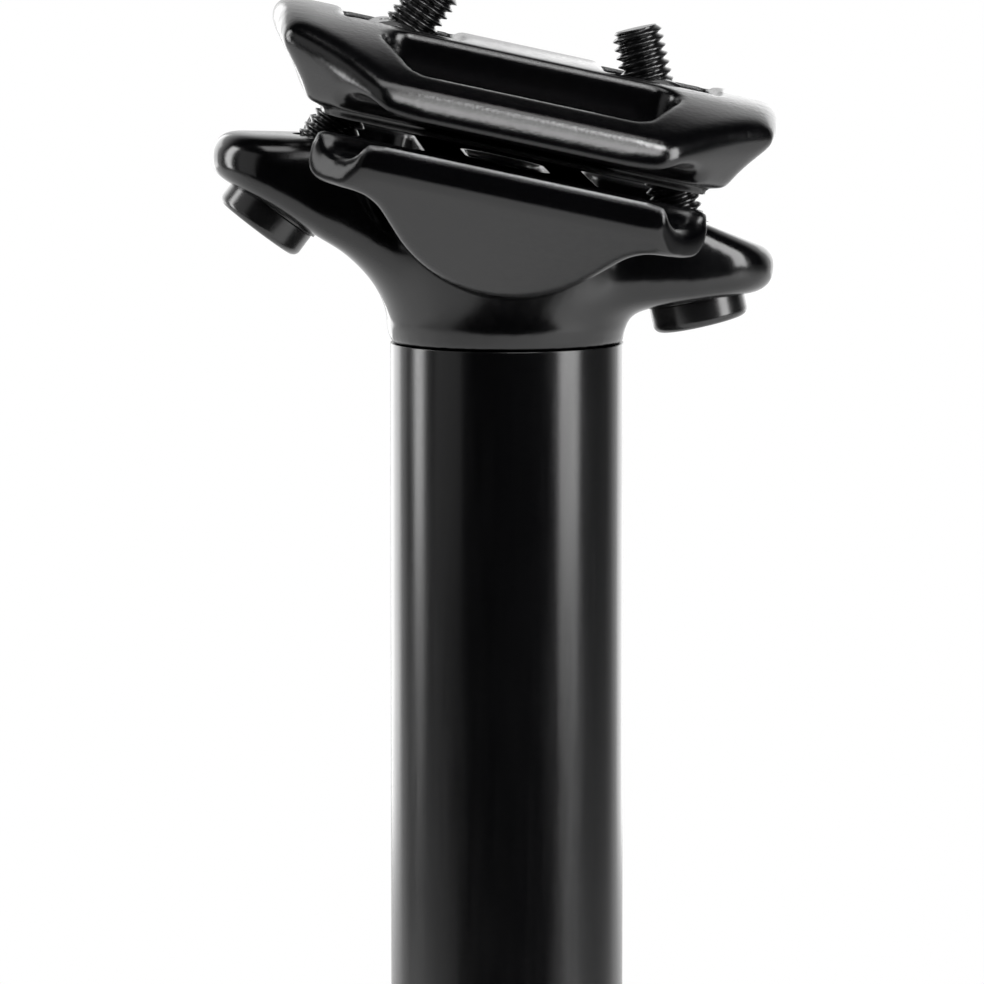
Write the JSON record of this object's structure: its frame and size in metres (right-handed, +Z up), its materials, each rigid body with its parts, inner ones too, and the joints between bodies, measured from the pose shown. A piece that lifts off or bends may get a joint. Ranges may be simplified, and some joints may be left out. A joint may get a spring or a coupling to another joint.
{
  "type": "bicycle seatpost",
  "caption": "Straight black bicycle seatpost with a forged head and a rocking clamp for round saddle rails, which a front and a rear bolt hold and tilt.",
  "frame": {"origin": "middle of the tube's lower end, on the tube's axis", "axes": "+Z up the tube towards the saddle clamp, +X to the front of the bicycle, +Y to its left"},
  "size_m": [0.0657, 0.052, 0.3704],
  "materials": {
    "anodised_tube": "black anodised, satin gloss",
    "anodised_forging": "black anodised, polished",
    "black_steel": "black oxide"
  },
  "bodies": {
    "post": {"post_tube": "anodised_tube", "head": "anodised_forging", "front_bolt": "black_steel", "rear_bolt": "black_steel", "front_washer": "black_steel", "rear_washer": "black_steel"},
    "clamp": {"lower_cradle": "anodised_forging", "upper_clamp": "anodised_forging"},
    "front_nut": {"front_nut": "black_steel"},
    "rear_nut": {"rear_nut": "black_steel"}
  },
  "joints": [
    {"name": "clamp_tilt", "type": "hinge", "parent": "post", "child": "clamp", "pos_m": [0, 0, 0.35], "axis": [0, 1, 0], "range_deg": [-8, 8]},
    {"name": "front_nut_turn", "type": "hinge", "parent": "clamp", "child": "front_nut", "pos_m": [0.01726, 0, 0.35391], "axis": [0, 1, 0], "range_deg": [-8, 8]},
    {"name": "rear_nut_turn", "type": "hinge", "parent": "clamp", "child": "rear_nut", "pos_m": [-0.01409, 0, 0.36071], "axis": [0, 1, 0], "range_deg": [-8, 8]}
  ],
  "couplings": [
    {"joint": "front_nut_turn", "follows": "clamp_tilt", "ratio": -1},
    {"joint": "rear_nut_turn", "follows": "clamp_tilt", "ratio": -1}
  ]
}
